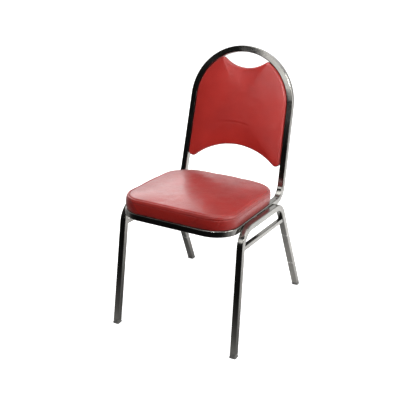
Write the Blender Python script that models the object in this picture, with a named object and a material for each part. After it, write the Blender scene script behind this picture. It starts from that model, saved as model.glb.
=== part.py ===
"""Dome-back stacking chair with a welded square-tube frame and vinyl pads.

Metres, +Z up. The sitter faces -Y. The origin is on the floor, under the middle
of the whole chair's bounding box.
"""
import math

import bmesh
import bpy
from mathutils import Matrix, Vector

# ---------------------------------------------------------------- clearances
GAP = 0.0003                       # left between pieces that touch or are welded
SLEEVE_FIT = 0.0005                # round a sleeve or a glide stem inside its tube
PAD_FIT = 0.0010                   # between the back pad's cover and the dome tube

# ---------------------------------------------------------------- whole chair
OVERALL_HEIGHT = 0.9175            # floor to the top of the dome
RAIL_SPACING = 0.3996              # between the centre lines of the seat's side rails
SEAT_DEPTH = 0.4418                # front rail to the corner under each upright, level
FRONT_RAIL_HEIGHT = 0.4454         # floor to the front rail's centre line
SEAT_SLOPE = math.radians(4.42)    # side rails fall towards the rear

# ---------------------------------------------------------------- tubes
TUBE = 0.0222                      # side of the frame's square tube
TUBE_WALL = 0.0012
TUBE_CORNER = 0.0030               # outside corner radius
STRETCHER = 0.0159                 # side of the stretchers' square tube
STRETCHER_CORNER = 0.0022
CROSS_RAIL = 0.0190                # side of the cross rail's square tube
CORNER_STEPS = 1                   # facets in each rounded tube corner
BEND_STEPS = 6                     # facets in each bend
DOME_STEPS = 24
ARCH_STEPS = 5                     # facets in each long arc of the back pad's outline
PAD_CORNER_STEPS = 3
ROLL_STEPS = 3                     # facets in a rolled edge
CROWN_SCALES = (0.85, 0.6, 0.3)    # rings over a crowned face, as shares of its rim

# ---------------------------------------------------------------- seat frame and back frame
FRONT_CORNER_RADIUS = 0.079        # plan bends at both ends of the front rail
BACK_RECLINE = math.radians(14.76)
BACK_TAPER = math.radians(1.57)    # uprights lean in towards the dome
BACK_BEND_RADIUS = 0.055           # from side rail to upright
SPLICE_LEAD = 0.018                # straight tube between the upright's bend and the splice
SPLICE_LENGTH = 0.060
CROSS_RAIL_LEAD = 0.045            # splice to the cross rail's centre line

# ---------------------------------------------------------------- leg frames
LEG_SETBACK = 0.0699               # front rail to the leg frame's front corner, level
LEG_REAR_LEAD = 0.0590             # leg frame's rear corner to the corner under the upright, level
LEG_BAR_EXTRA_SLOPE = math.radians(1.3)    # side bar and stretcher, beyond the seat's own slope
FRONT_LEG_RAKE = math.radians(8.53)
REAR_LEG_RAKE = math.radians(24.24)
LEG_SPLAY = math.radians(1.39)
LEG_FRONT_BEND_RADIUS = 0.062
LEG_REAR_BEND_RADIUS = 0.070
STRETCHER_DROP = 0.0624            # front corner to the stretcher's centre line, down the leg

# ---------------------------------------------------------------- glides
GLIDE_WIDTH = 0.0260
GLIDE_CORNER = 0.0045
GLIDE_COLLAR = 0.0232              # width where the glide meets the tube
GLIDE_HEIGHT = 0.0150              # floor to the tube's end, on the leg's centre line
GLIDE_STEM = 0.0220

# ---------------------------------------------------------------- upholstery
VINYL = 0.0012
HEM = 0.0150                       # vinyl turned under the board
BOARD_INSET = 0.0020               # board edge behind the foam's side

SEAT_INSET = 0.0040                # seat frame's outer faces to the foam's sides
SEAT_REAR_LEAD = 0.0471            # cushion's rear edge to the corner under each upright
SEAT_REAR_CORNER = 0.085
SEAT_BOARD = 0.0120
SEAT_FOAM = 0.0360
SEAT_ROLL = 0.0140                 # radius of the cushion's rolled top edge
SEAT_CROWN = 0.0100
DUST_COVER = 0.0006

BACK_BOARD = 0.0090
BACK_BOARD_FRONT = 0.0060          # board's front face before the tube's centre plane
BACK_FOAM = 0.0100
BACK_ROLL = 0.0070
BACK_CROWN = 0.0080
BACK_PANEL = 0.0040
PANEL_ROLL = 0.0025
PANEL_CROWN = 0.0040
PAD_TOP_DROP = 0.0560              # dome's inside face to the hand-hold's edge, on the centre line
HAND_HOLD_RADIUS = 0.133
PAD_HORN_RADIUS = 0.0095
PAD_ARCH_LIFT = 0.1628             # corner under the upright to the top of the pad's arch
PAD_ARCH_RADIUS = 0.243
PAD_FOOT_RADIUS = 0.0160

# ---------------------------------------------------------------- tabs and fasteners
TAB_THICKNESS = 0.0020
TAB_WIDTH = 0.0260
TAB_REACH = 0.0340                 # how far a tab stands in from its tube
TAB_HOLE = 0.0060
SEAT_TAB_FRONT = 0.1250            # front rail to the front pair of seat tabs
SEAT_TAB_LEAD = 0.1060             # rear pair of seat tabs to the cushion's rear edge
BACK_TAB_LOW = 0.0128              # top of the pad's arch down to the lower pair of back tabs
BACK_TAB_HIGH = 0.0100             # the dome's spring line down to the upper pair
SCREW_SHANK = 0.0045
SCREW_HEAD = 0.0095
SCREW_HEAD_HEIGHT = 0.0025
SCREW_GRIP = 0.0075                # thread inside the board
WASHER_WIDTH = 0.0130
WASHER_THICKNESS = 0.0010
CLIP_WIDTH = 0.0120
CLIP_ACROSS = 0.0900               # middle line to the panel clips
CLIP_STEP = 0.0400                 # tabs to the clips' rows, towards the pad's middle
ROUND_STEPS = 16                   # facets round tabs, screws, washers and clips


# ---------------------------------------------------------------- derived places
ALONG = Vector((0.0, math.cos(SEAT_SLOPE), -math.sin(SEAT_SLOPE)))    # down the side rails
BACK_UP = Vector((0.0, math.sin(BACK_RECLINE), math.cos(BACK_RECLINE)))
BACK_FRONT = Vector((0.0, -math.cos(BACK_RECLINE), math.sin(BACK_RECLINE)))
SIDE = Vector((1.0, 0.0, 0.0))
HALF_TUBE = TUBE / 2
RAIL_X = RAIL_SPACING / 2
RAIL_LENGTH = SEAT_DEPTH / math.cos(SEAT_SLOPE)    # front rail to the uprights' corner, down the rail
FRONT_RAIL = Vector((0.0, 0.0, FRONT_RAIL_HEIGHT))
BACK_CORNER = FRONT_RAIL + ALONG * RAIL_LENGTH
BACK_TURN = math.pi / 2 - BACK_RECLINE + SEAT_SLOPE
BACK_TRIM = BACK_BEND_RADIUS * math.tan(BACK_TURN / 2)
SPLICE_AT = RAIL_LENGTH - BACK_TRIM - SPLICE_LEAD
CROSS_RAIL_AT = SPLICE_AT - CROSS_RAIL_LEAD
SEAT_REAR_EDGE = RAIL_LENGTH - SEAT_REAR_LEAD      # front rail's centre line to the cushion's rear edge

# The dome: a circle that both leaning uprights touch, under the overall height.
BACK_RISE = (OVERALL_HEIGHT - BACK_CORNER.z
             - (HALF_TUBE - TUBE_CORNER) * math.sin(BACK_RECLINE)) / math.cos(BACK_RECLINE)
DOME_RADIUS = (RAIL_X * math.cos(BACK_TAPER) - (BACK_RISE - HALF_TUBE) * math.sin(BACK_TAPER)) / (
    1 - math.sin(BACK_TAPER))
DOME_CENTRE = BACK_RISE - HALF_TUBE - DOME_RADIUS
HOLD_LOW = BACK_RISE - TUBE - PAD_TOP_DROP       # lowest point of the hand-hold's edge


def leg_x(y, z):
    """Distance from the middle plane to a leg frame's centre plane."""
    rail_z = FRONT_RAIL_HEIGHT - y * math.tan(SEAT_SLOPE)
    half_reach = HALF_TUBE * (math.cos(LEG_SPLAY) + math.sin(LEG_SPLAY))
    return RAIL_X + HALF_TUBE + GAP + half_reach + (rail_z - z) * math.tan(LEG_SPLAY)


def leg_point(y, z, hand):
    return Vector((hand * leg_x(y, z), y, z))


def rail_height(y):
    return FRONT_RAIL_HEIGHT - y * math.tan(SEAT_SLOPE)


def leg_bar_height(y):
    """Height of the leg frame's side bar, level with the seat rail at its front corner."""
    return rail_height(LEG_SETBACK) - (y - LEG_SETBACK) * math.tan(SEAT_SLOPE + LEG_BAR_EXTRA_SLOPE)


LEG_REAR_Y = SEAT_DEPTH - LEG_REAR_LEAD
FRONT_FOOT_Y = LEG_SETBACK - leg_bar_height(LEG_SETBACK) * math.tan(FRONT_LEG_RAKE)
REAR_FOOT_Y = LEG_REAR_Y + leg_bar_height(LEG_REAR_Y) * math.tan(REAR_LEG_RAKE)

# The chair is built from its front rail back, then shifted so that it stands
# over the origin.
REARMOST = max(REAR_FOOT_Y + GLIDE_WIDTH / 2,
               BACK_CORNER.y + (BACK_RISE - HALF_TUBE) * math.sin(BACK_RECLINE)
               + HALF_TUBE * math.cos(BACK_RECLINE) + (HALF_TUBE - TUBE_CORNER) * math.sin(BACK_RECLINE))
FOREMOST = min(FRONT_FOOT_Y - GLIDE_WIDTH / 2, -HALF_TUBE)


# ---------------------------------------------------------------- materials
def make_material(name, colour, roughness, metallic=0.0):
    material = bpy.data.materials.new(name)
    material.use_nodes = True
    shader = material.node_tree.nodes["Principled BSDF"]
    shader.inputs["Base Color"].default_value = (*colour, 1.0)
    shader.inputs["Roughness"].default_value = roughness
    shader.inputs["Metallic"].default_value = metallic
    return material


# ---------------------------------------------------------------- mesh helpers
def make_object(name, points, faces, material, parent, smooth_angle=math.radians(35)):
    """One closed body from points and faces, with its faces turned outwards."""
    mesh = bpy.data.meshes.new(name)
    work = bmesh.new()
    corners = [work.verts.new(point) for point in points]
    for face in faces:
        work.faces.new([corners[index] for index in face])
    bmesh.ops.recalc_face_normals(work, faces=work.faces)
    work.to_mesh(mesh)
    work.free()
    mesh.shade_smooth()
    mesh.set_sharp_from_angle(angle=smooth_angle)
    mesh.materials.append(material)
    piece = bpy.data.objects.new(name, mesh)
    bpy.context.scene.collection.objects.link(piece)
    piece.parent = parent
    return piece


def ring_faces(first, second, count):
    """Quads between two rings whose first points are numbered first and second."""
    return [(first + i, first + (i + 1) % count, second + (i + 1) % count, second + i)
            for i in range(count)]


def loft(name, rings, material, parent):
    """A closed body through a run of rings, with a flat face at both ends."""
    count = len(rings[0])
    points = [point for ring in rings for point in ring]
    faces = []
    for index in range(len(rings) - 1):
        faces += ring_faces(index * count, (index + 1) * count, count)
    last = (len(rings) - 1) * count
    faces.append(tuple(range(count)))
    faces.append(tuple(range(last, last + count)))
    return make_object(name, points, faces, material, parent)


def looped_loft(name, rings, material, parent):
    """A closed body through rings whose last one joins the first, such as a washer."""
    count = len(rings[0])
    points = [point for ring in rings for point in ring]
    faces = []
    for index in range(len(rings)):
        faces += ring_faces(index * count, (index + 1) % len(rings) * count, count)
    return make_object(name, points, faces, material, parent)


def arc(centre, spoke, axis, turn, steps):
    """Points round an arc that starts at centre + spoke, both ends included."""
    return [centre + Matrix.Rotation(turn * step / steps, 3, axis) @ spoke
            for step in range(steps + 1)]


def square_section(size, corner):
    """Points round a square with rounded corners, as (across, up) pairs."""
    reach = size / 2 - corner
    section = []
    for quarter in range(4):
        middle = math.pi / 4 + quarter * math.pi / 2
        across = math.copysign(reach, math.cos(middle))
        up = math.copysign(reach, math.sin(middle))
        for step in range(CORNER_STEPS + 1):
            angle = quarter * math.pi / 2 + step / CORNER_STEPS * math.pi / 2
            section.append((across + corner * math.cos(angle), up + corner * math.sin(angle)))
    return section


def bend(before, corner, after, radius):
    """A rounded corner as (point, direction) pairs."""
    inward = (corner - before).normalized()
    outward = (after - corner).normalized()
    turn = inward.angle(outward)
    axis = inward.cross(outward).normalized()
    start = corner - inward * (radius * math.tan(turn / 2))
    centre = start + axis.cross(inward) * radius
    points = arc(centre, start - centre, axis, turn, BEND_STEPS)
    directions = [Matrix.Rotation(turn * step / BEND_STEPS, 3, axis) @ inward
                  for step in range(BEND_STEPS + 1)]
    return list(zip(points, directions))


def bent_path(corners, radii):
    """A bar's centre line through its corners, each rounded by its own radius."""
    path = [(corners[0], (corners[1] - corners[0]).normalized())]
    for before, corner, after, radius in zip(corners, corners[1:], corners[2:], radii):
        path += bend(before, corner, after, radius)
    path.append((corners[-1], (corners[-1] - corners[-2]).normalized()))
    return path


def section_rings(path, section, side):
    """The section at each point of the path, carried along it without twist."""
    rings = []
    for point, direction in path:
        side = (side - direction * side.dot(direction)).normalized()
        up = direction.cross(side)
        rings.append([point + side * across + up * rise for across, rise in section])
    return rings


def make_tube(name, path, side, size, corner, material, parent):
    """A hollow square tube along a path, open at both ends."""
    outside = section_rings(path, square_section(size, corner), side)
    inner_corner = max(corner - TUBE_WALL, corner / 4)
    inside = section_rings(path, square_section(size - 2 * TUBE_WALL, inner_corner), side)
    return looped_loft(name, outside + inside[::-1], material, parent)


def meet_plane(ring, direction, plane_point, normal):
    """The ring slid along direction until each of its points lies on a plane."""
    run = direction.dot(normal)
    return [point + direction * ((plane_point - point).dot(normal) / run) for point in ring]


# ---------------------------------------------------------------- welded frame
def make_seat_frame(material, parent):
    """Front rail and both side rails, bent from one tube."""
    rear = FRONT_RAIL + ALONG * (SPLICE_AT - GAP)
    corners = [rear - SIDE * RAIL_X, FRONT_RAIL - SIDE * RAIL_X,
               FRONT_RAIL + SIDE * RAIL_X, rear + SIDE * RAIL_X]
    path = bent_path(corners, (FRONT_CORNER_RADIUS, FRONT_CORNER_RADIUS))
    return make_tube("seat_frame", path, SIDE, TUBE, TUBE_CORNER, material, parent)


def upright_line(hand):
    """Start, bend and straight of one upright, from its splice up."""
    splice = FRONT_RAIL + ALONG * SPLICE_AT + SIDE * hand * RAIL_X
    corner = BACK_CORNER + SIDE * hand * RAIL_X
    lean = BACK_UP * math.cos(BACK_TAPER) - SIDE * hand * math.sin(BACK_TAPER)
    return [(splice, ALONG.copy())] + bend(splice, corner, corner + lean, BACK_BEND_RADIUS)


def make_back_frame(material, parent):
    """Both uprights and the dome, bent from one tube."""
    left = upright_line(-1)
    right = [(point, -direction) for point, direction in reversed(upright_line(1))]
    centre = BACK_CORNER + BACK_UP * DOME_CENTRE
    spoke = (-SIDE * math.cos(BACK_TAPER) + BACK_UP * math.sin(BACK_TAPER)) * DOME_RADIUS
    turn = math.pi - 2 * BACK_TAPER
    axis = -BACK_FRONT
    points = arc(centre, spoke, axis, turn, DOME_STEPS)
    dome = [(point, axis.cross(point - centre).normalized()) for point in points]
    return make_tube("back_frame", left + dome + right, SIDE, TUBE, TUBE_CORNER, material, parent)


def make_splice_sleeve(name, hand, material, parent):
    """Short tube inside the joint between seat frame and back frame."""
    middle = FRONT_RAIL + ALONG * SPLICE_AT + SIDE * hand * RAIL_X
    reach = min(SPLICE_LENGTH / 2, SPLICE_LEAD)
    path = [(middle - ALONG * (SPLICE_LENGTH - reach), ALONG), (middle + ALONG * reach, ALONG)]
    size = TUBE - 2 * TUBE_WALL - 2 * SLEEVE_FIT
    return make_tube(name, path, SIDE, size, TUBE_CORNER - TUBE_WALL, material, parent)


def make_cross_rail(material, parent):
    """Straight tube between the side rails, under the rear of the seat board."""
    lift = ALONG.cross(-SIDE) * (HALF_TUBE - CROSS_RAIL / 2)
    middle = FRONT_RAIL + ALONG * CROSS_RAIL_AT + lift
    reach = SIDE * (RAIL_X - HALF_TUBE - GAP)
    path = [(middle - reach, SIDE), (middle + reach, SIDE)]
    return make_tube("rear_cross_rail", path, ALONG, CROSS_RAIL, TUBE_CORNER, material, parent)


def leg_corners(hand):
    """Front foot, front corner, rear corner and rear foot of a leg frame."""
    return [leg_point(FRONT_FOOT_Y, 0.0, hand), leg_point(LEG_SETBACK, leg_bar_height(LEG_SETBACK), hand),
            leg_point(LEG_REAR_Y, leg_bar_height(LEG_REAR_Y), hand), leg_point(REAR_FOOT_Y, 0.0, hand)]


def leg_normal(corners):
    return (corners[1] - corners[0]).cross(corners[2] - corners[1]).normalized()


def make_leg_frame(name, hand, material, parent):
    """Front leg, side bar and rear leg, bent from one tube."""
    corners = leg_corners(hand)
    side = leg_normal(corners)
    for foot, corner in ((0, 1), (3, 2)):
        up = (corners[corner] - corners[foot]).normalized()
        corners[foot] = corners[foot] + up * (GLIDE_HEIGHT / up.z)
    path = bent_path(corners, (LEG_FRONT_BEND_RADIUS, LEG_REAR_BEND_RADIUS))
    return make_tube(name, path, side, TUBE, TUBE_CORNER, material, parent)


def facing(normal, towards):
    """The normal, or its opposite, whichever points along towards."""
    return normal if normal.dot(towards) > 0 else -normal


def bend_intrusion(radius, turn, down_leg):
    """How far a leg's inside face has bent away from its straight, down_leg from the corner."""
    above = radius * math.tan(turn / 2) - down_leg
    if above <= 0:
        return 0.0
    inside = radius - HALF_TUBE
    facet = inside * math.cos(turn / BEND_STEPS / 2)
    return inside - math.sqrt(facet ** 2 - above ** 2)


def make_stretcher(name, hand, material, parent):
    """Light tube between the legs, with its ends cut to lie against them."""
    front_foot, front, rear, rear_foot = leg_corners(hand)
    top = (rear - front).normalized()
    front_down = (front_foot - front).normalized()
    rear_down = (rear_foot - rear).normalized()
    across = facing(leg_normal([front_foot, front, rear]), SIDE)
    start = front + front_down * STRETCHER_DROP
    upper_edge = start - front_down * (STRETCHER / 2)
    outside = section_rings([(start, top)], square_section(STRETCHER, STRETCHER_CORNER), across)[0]
    bore_section = square_section(STRETCHER - 2 * TUBE_WALL, STRETCHER_CORNER - TUBE_WALL)
    inside = section_rings([(start, top)], bore_section, across)[0]
    rings = []
    for corner, down, radius, turn, towards in (
            (front, front_down, LEG_FRONT_BEND_RADIUS, top.angle(-front_down), top),
            (rear, rear_down, LEG_REAR_BEND_RADIUS, top.angle(rear_down), -top)):
        normal = facing(across.cross(down), towards)
        straight = corner + normal * (HALF_TUBE + GAP)
        down_leg = (meet_plane([upper_edge], top, straight, normal)[0] - corner).dot(down)
        face = straight + normal * bend_intrusion(radius, turn, down_leg)
        rings += [meet_plane(outside, top, face, normal), meet_plane(inside, top, face, normal)]
    return looped_loft(name, [rings[0], rings[2], rings[3], rings[1]], material, parent)


def make_glide(name, foot, corner, side, material, parent):
    """Foot glide: flat on the floor, with a stem up inside the leg tube."""
    up = (corner - foot).normalized()
    end = foot + up * (GLIDE_HEIGHT / up.z)
    flat = [(foot, Vector((0.0, 0.0, 1.0)))]
    sole = section_rings(flat, square_section(GLIDE_WIDTH, GLIDE_CORNER), side)[0]
    collar_corner = TUBE_CORNER + (GLIDE_COLLAR - TUBE) / 2
    stem_size = TUBE - 2 * TUBE_WALL - 2 * SLEEVE_FIT
    stem_corner = TUBE_CORNER - TUBE_WALL
    below = end - up * GAP
    collar = section_rings([(below, up)], square_section(GLIDE_COLLAR, collar_corner), side)[0]
    stem = section_rings([(below, up), (end + up * GLIDE_STEM, up)],
                         square_section(stem_size, stem_corner), side)
    return loft(name, [sole, collar, stem[0], stem[1]], material, parent)


# ---------------------------------------------------------------- pads
def seat_outline(inset):
    """Cushion outline in the seat's own plane, drawn in by inset."""
    half = RAIL_X + HALF_TUBE - SEAT_INSET - inset
    front = -HALF_TUBE + SEAT_INSET + inset
    rear = SEAT_REAR_EDGE - inset
    front_radius = FRONT_CORNER_RADIUS + HALF_TUBE - SEAT_INSET - inset
    rear_radius = SEAT_REAR_CORNER - inset
    outline = []
    for across, along, radius, quarter in (
            (half - rear_radius, rear - rear_radius, rear_radius, 0),
            (rear_radius - half, rear - rear_radius, rear_radius, 1),
            (front_radius - half, front + front_radius, front_radius, 2),
            (half - front_radius, front + front_radius, front_radius, 3)):
        for step in range(BEND_STEPS + 1):
            angle = (quarter + step / BEND_STEPS) * math.pi / 2
            outline.append((across + radius * math.cos(angle), along + radius * math.sin(angle)))
    return outline


def circles_meet(first_height, first_radius, second_height, second_radius):
    """The crossing on the +X side of two circles centred on the middle line."""
    apart = second_height - first_height
    along = (first_radius ** 2 - second_radius ** 2 + apart ** 2) / (2 * apart)
    return math.sqrt(first_radius ** 2 - along ** 2), first_height + along


def arc_2d(centre, radius, start, end, steps):
    return [(centre[0] + radius * math.cos(start + (end - start) * step / steps),
             centre[1] + radius * math.sin(start + (end - start) * step / steps))
            for step in range(steps + 1)]


def angle_from(centre, point):
    return math.atan2(point[1] - centre[1], point[0] - centre[0])


def line_meets_circle(reach, height, radius):
    """Upper crossing of a line along the right upright with a circle on the middle line.

    The line lies reach from the back's lower corner point, square to the upright.
    """
    cosine = math.cos(BACK_TAPER)
    sine = math.sin(BACK_TAPER)
    nearest = (reach * cosine, reach * sine - height)
    middle = height * cosine
    run = middle + math.sqrt(middle ** 2 - nearest[0] ** 2 - nearest[1] ** 2 + radius ** 2)
    return reach * cosine - run * sine, reach * sine + run * cosine


def pad_outline(inset):
    """Back pad outline in the back's own plane, drawn in by inset.

    Its sides follow the dome tube, a hand-hold is cut into its top edge and an
    arch into its lower edge, and all four corners are rounded.
    """
    edge = HALF_TUBE + PAD_FIT + VINYL + GAP + inset
    side_radius = DOME_RADIUS - edge
    hold_radius = HAND_HOLD_RADIUS + inset
    arch_radius = PAD_ARCH_RADIUS + inset
    horn_radius = PAD_HORN_RADIUS - inset
    foot_radius = PAD_FOOT_RADIUS - inset
    dome = (0.0, DOME_CENTRE)
    hold = (0.0, HOLD_LOW + HAND_HOLD_RADIUS)
    arch = (0.0, PAD_ARCH_LIFT - PAD_ARCH_RADIUS)
    horn = circles_meet(dome[1], side_radius - horn_radius, hold[1], hold_radius + horn_radius)
    foot = line_meets_circle(RAIL_X * math.cos(BACK_TAPER) - edge - foot_radius, arch[1],
                             arch_radius + foot_radius)
    right = arc_2d(arch, arch_radius, math.pi / 2, angle_from(arch, foot), ARCH_STEPS)
    right += arc_2d(foot, foot_radius, angle_from(foot, arch), BACK_TAPER, PAD_CORNER_STEPS)[1:]
    right += arc_2d(dome, side_radius, BACK_TAPER, angle_from(dome, horn), ARCH_STEPS)
    right += arc_2d(horn, horn_radius, angle_from(dome, horn), angle_from(horn, hold), PAD_CORNER_STEPS)[1:]
    right += arc_2d(hold, hold_radius, angle_from(hold, horn), -math.pi / 2, ARCH_STEPS)[1:]
    return right + [(-x, y) for x, y in reversed(right[1:-1])]


def flat_ring(outline, height):
    return [Vector((x, y, height)) for x, y in outline]


def rolled_rings(outline, grow, base, top, roll, crown, centre):
    """Rings up a pad's side, over its rolled edge and in over its crowned face."""
    side = -grow
    rings = [flat_ring(outline(side), base)]
    for step in range(ROLL_STEPS + 1):
        angle = step / ROLL_STEPS * math.pi / 2
        inset = side + (roll + grow) * (1 - math.cos(angle))
        rings.append(flat_ring(outline(inset), top - roll + (roll + grow) * math.sin(angle)))
    rim = rings[-1]
    for scale in CROWN_SCALES:
        height = top + grow + crown * (1 - scale ** 2)
        rings.append([Vector((point.x * scale, centre + (point.y - centre) * scale, height))
                      for point in rim])
    return rings


def add_holes(piece, places, diameter, depth, parent):
    """Round blind holes up into a piece, at places in its own plane."""
    for number, (x, y, height) in enumerate(places):
        bpy.ops.mesh.primitive_cylinder_add(vertices=ROUND_STEPS, radius=diameter / 2, depth=depth,
                                            location=(x, y, height + depth / 2))
        cutter = bpy.context.object
        cutter.name = f"cutter_{piece.name}_{number}"
        cutter.parent = parent
        cutter.hide_render = True
        cutter.display_type = "WIRE"
        hole = piece.modifiers.new(f"hole_{number}", "BOOLEAN")
        hole.operation = "DIFFERENCE"
        hole.solver = "EXACT"
        hole.object = cutter


def make_pad(prefix, outline, centre, board_base, board, foam, roll, crown, parent, looks):
    """Plywood board, foam and turned-under vinyl cover of the seat or of the back."""
    board_ring = outline(BOARD_INSET)
    board_rings = [flat_ring(board_ring, board_base), flat_ring(board_ring, board_base + board)]
    wood = loft(f"{prefix}_board", board_rings, looks["plywood"], parent)
    foam_base = board_base + board + GAP
    top = foam_base + foam
    loft(f"{prefix}_foam", rolled_rings(outline, 0.0, foam_base, top, roll, crown, centre),
         looks["foam"], parent)
    hem_top = board_base - GAP
    outside = rolled_rings(outline, GAP + VINYL, hem_top - VINYL, top, roll, crown, centre)
    inside = rolled_rings(outline, GAP, hem_top, top, roll, crown, centre)
    hem = [flat_ring(outline(HEM), hem_top - VINYL), flat_ring(outline(HEM), hem_top)]
    loft(f"{prefix}_cover", outside[::-1] + hem + inside, looks["vinyl"], parent)
    return wood


# ---------------------------------------------------------------- tabs and fasteners
def make_tab_mesh(material):
    """D-shaped plate with a hole at its origin, its flat side towards +X."""
    half = TAB_WIDTH / 2
    weld = TAB_REACH - half
    outer = []
    hole = []
    for step in range(ROUND_STEPS):
        angle = 2 * math.pi * step / ROUND_STEPS
        across, along = math.cos(angle), math.sin(angle)
        square = max(abs(across), abs(along)) if across > 0 else 1.0
        x = half * across / square
        if across > 0:
            x *= weld / half
        outer.append((x, half * along / square))
        hole.append((TAB_HOLE / 2 * across, TAB_HOLE / 2 * along))
    rings = [flat_ring(outer, -TAB_THICKNESS), flat_ring(outer, 0.0),
             flat_ring(hole, 0.0), flat_ring(hole, -TAB_THICKNESS)]
    return looped_loft("tab", rings, material, None)


def circle(diameter):
    return [(diameter / 2 * math.cos(2 * math.pi * step / ROUND_STEPS),
             diameter / 2 * math.sin(2 * math.pi * step / ROUND_STEPS)) for step in range(ROUND_STEPS)]


def make_screw(name, x, y, head_top, tip, material, parent):
    """Pan-head screw, its head below and its point up in the board."""
    rim = head_top - SCREW_HEAD_HEIGHT
    rings = [flat_ring(circle(SCREW_HEAD * 0.6), rim),
             flat_ring(circle(SCREW_HEAD * 0.9), rim + SCREW_HEAD_HEIGHT / 3),
             flat_ring(circle(SCREW_HEAD), head_top), flat_ring(circle(SCREW_SHANK), head_top),
             flat_ring(circle(SCREW_SHANK), tip - SCREW_SHANK / 2), flat_ring(circle(SCREW_SHANK / 3), tip)]
    screw = loft(name, rings, material, parent)
    screw.location = (x, y, 0.0)


def make_washer(name, x, y, top, material, parent):
    bore = circle(SCREW_SHANK + 2 * GAP)
    rim = circle(WASHER_WIDTH)
    washer = looped_loft(name, [flat_ring(rim, top - WASHER_THICKNESS), flat_ring(rim, top),
                                flat_ring(bore, top), flat_ring(bore, top - WASHER_THICKNESS)],
                         material, parent)
    washer.location = (x, y, 0.0)


def place_tab(name, mesh, x, y, height, turn, parent):
    """A copy of the tab with its hole at x, y and its upper face at height."""
    tab = bpy.data.objects.new(name, mesh)
    bpy.context.scene.collection.objects.link(tab)
    tab.parent = parent
    tab.location = (x, y, height)
    tab.rotation_euler = (0.0, 0.0, turn)


def plane_empty(name, origin, turn, parent):
    """An empty whose X and Y axes lie in the plane of the seat or of the back."""
    empty = bpy.data.objects.new(name, None)
    bpy.context.scene.collection.objects.link(empty)
    empty.parent = parent
    empty.location = origin
    empty.rotation_euler = (turn, 0.0, 0.0)
    return empty


# ---------------------------------------------------------------- the two cushions on the frame
def build_seat(parent, looks, tab_mesh):
    board_base = HALF_TUBE + GAP + VINYL + GAP
    wood = make_pad("seat", seat_outline, SEAT_REAR_EDGE / 2, board_base, SEAT_BOARD, SEAT_FOAM,
                    SEAT_ROLL, SEAT_CROWN, parent, looks)
    dust_ring = seat_outline(HEM + GAP)
    dust_base = HALF_TUBE + GAP
    dust_rings = [flat_ring(dust_ring, dust_base), flat_ring(dust_ring, dust_base + DUST_COVER)]
    dust = loft("seat_dust_cover", dust_rings, looks["cloth"], parent)
    tab_x = RAIL_X - HALF_TUBE - GAP - TAB_REACH + TAB_WIDTH / 2
    washer_top = HALF_TUBE - TAB_THICKNESS - GAP
    head_top = washer_top - WASHER_THICKNESS - GAP
    holes = []
    for row, along in (("front", SEAT_TAB_FRONT), ("rear", SEAT_REAR_EDGE - SEAT_TAB_LEAD)):
        for side, hand in (("left", -1), ("right", 1)):
            turn = 0.0 if hand > 0 else math.pi
            place_tab(f"seat_tab_{row}_{side}", tab_mesh, hand * tab_x, along, HALF_TUBE, turn, parent)
            make_washer(f"seat_washer_{row}_{side}", hand * tab_x, along, washer_top, looks["zinc"], parent)
            make_screw(f"seat_screw_{row}_{side}", hand * tab_x, along, head_top,
                       board_base + SCREW_GRIP, looks["zinc"], parent)
            holes.append((hand * tab_x, along, HALF_TUBE))
    depth = board_base - HALF_TUBE + SCREW_GRIP + GAP
    add_holes(wood, holes, SCREW_SHANK + 2 * GAP, depth, parent)
    add_holes(dust, holes, SCREW_SHANK + 2 * GAP, depth, parent)


def build_back(parent, looks, tab_mesh):
    board_base = BACK_BOARD_FRONT - BACK_BOARD
    centre = (PAD_ARCH_LIFT + HOLD_LOW) / 2
    wood = make_pad("back", pad_outline, centre, board_base, BACK_BOARD, BACK_FOAM,
                    BACK_ROLL, BACK_CROWN, parent, looks)
    tab_top = board_base - GAP - VINYL - GAP
    head_top = tab_top - TAB_THICKNESS - GAP
    panel_face = head_top - SCREW_HEAD_HEIGHT - GAP
    holes = []
    clip_base = panel_face + GAP
    clip_top = board_base - GAP
    for row, along, step in (("lower", PAD_ARCH_LIFT - BACK_TAB_LOW, CLIP_STEP),
                             ("upper", DOME_CENTRE - BACK_TAB_HIGH, -CLIP_STEP)):
        reach = RAIL_X * math.cos(BACK_TAPER) - HALF_TUBE - GAP - TAB_REACH + TAB_WIDTH / 2
        tab_x = (reach - along * math.sin(BACK_TAPER)) / math.cos(BACK_TAPER)
        for side, hand in (("left", -1), ("right", 1)):
            turn = hand * BACK_TAPER if hand > 0 else math.pi + hand * BACK_TAPER
            place_tab(f"back_tab_{row}_{side}", tab_mesh, hand * tab_x, along, tab_top, turn, parent)
            make_screw(f"back_screw_{row}_{side}", hand * tab_x, along, head_top,
                       board_base + SCREW_GRIP, looks["zinc"], parent)
            holes.append((hand * tab_x, along, tab_top))
            clip = loft(f"back_panel_clip_{row}_{side}",
                        [flat_ring(circle(CLIP_WIDTH), clip_base), flat_ring(circle(CLIP_WIDTH), clip_top)],
                        looks["glide"], parent)
            clip.location = (hand * CLIP_ACROSS, along + step, 0.0)
    add_holes(wood, holes, SCREW_SHANK + 2 * GAP, board_base - tab_top + SCREW_GRIP + GAP, parent)
    rings = rolled_rings(pad_outline, 0.0, 0.0, BACK_PANEL, PANEL_ROLL, PANEL_CROWN, centre)
    turned = [[Vector((point.x, point.y, panel_face - point.z)) for point in ring] for ring in rings]
    loft("back_panel", turned, looks["vinyl"], parent)


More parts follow.
